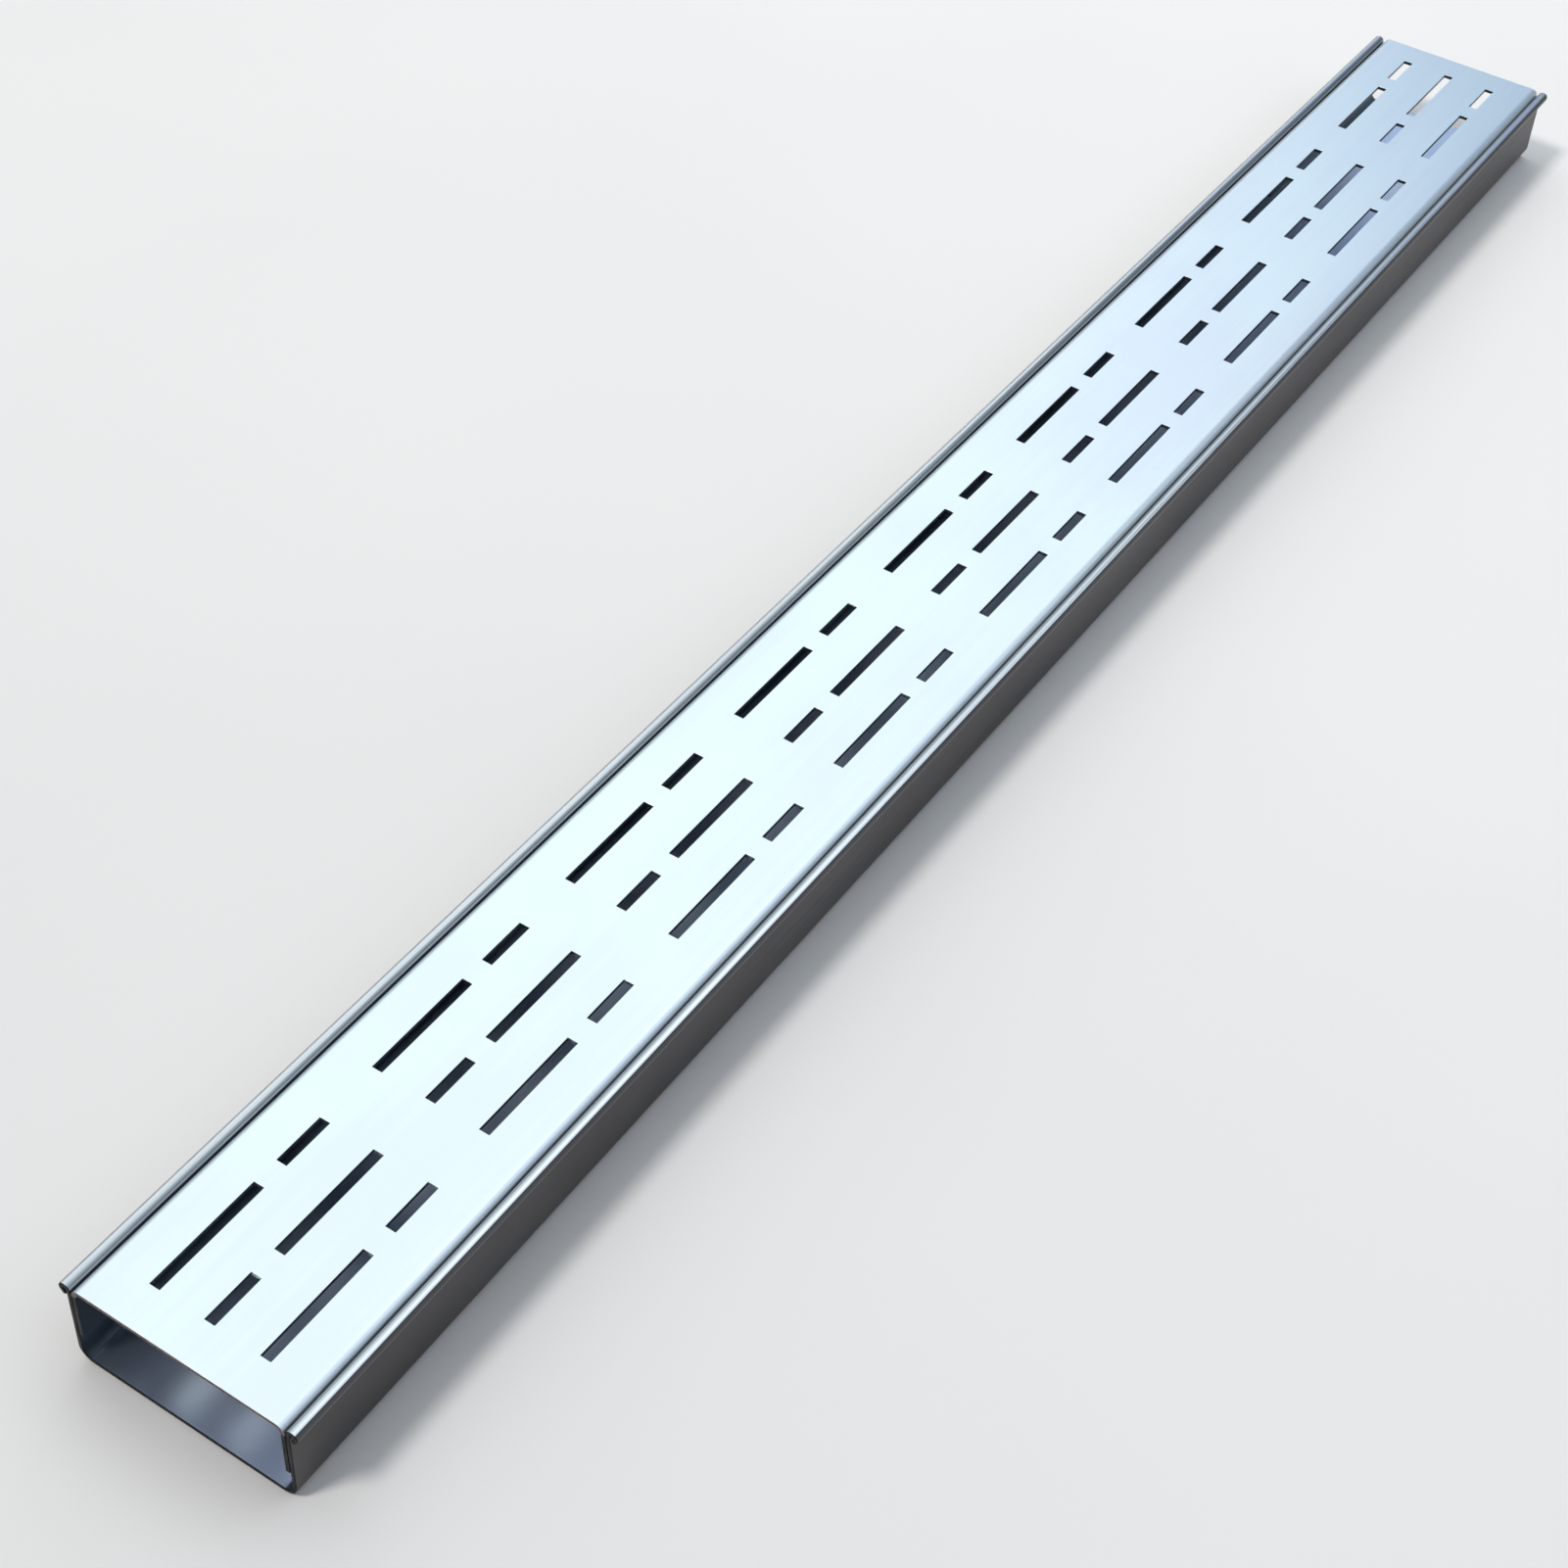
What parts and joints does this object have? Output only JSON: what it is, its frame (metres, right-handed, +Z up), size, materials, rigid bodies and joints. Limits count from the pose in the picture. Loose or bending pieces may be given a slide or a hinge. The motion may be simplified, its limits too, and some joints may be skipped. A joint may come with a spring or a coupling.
{
  "type": "channel drain grate",
  "caption": "Folded stainless steel linear drain channel with rolled lips, open at both ends, and a drop-in slotted cover whose feet stand on the floor bends.",
  "frame": {"origin": "centre of the channel's underside, halfway along its length", "axes": "+Y along the channel, +X across it, +Z up through the slotted cover"},
  "size_m": [0.09, 0.9, 0.035],
  "materials": {
    "channel_steel": "cold-rolled stainless sheet, satin, folded",
    "cover_steel": "stainless sheet with a fine lengthwise grain, punched and folded"
  },
  "bodies": {
    "root": {"channel": "channel_steel", "cover": "cover_steel"}
  },
  "joints": []
}
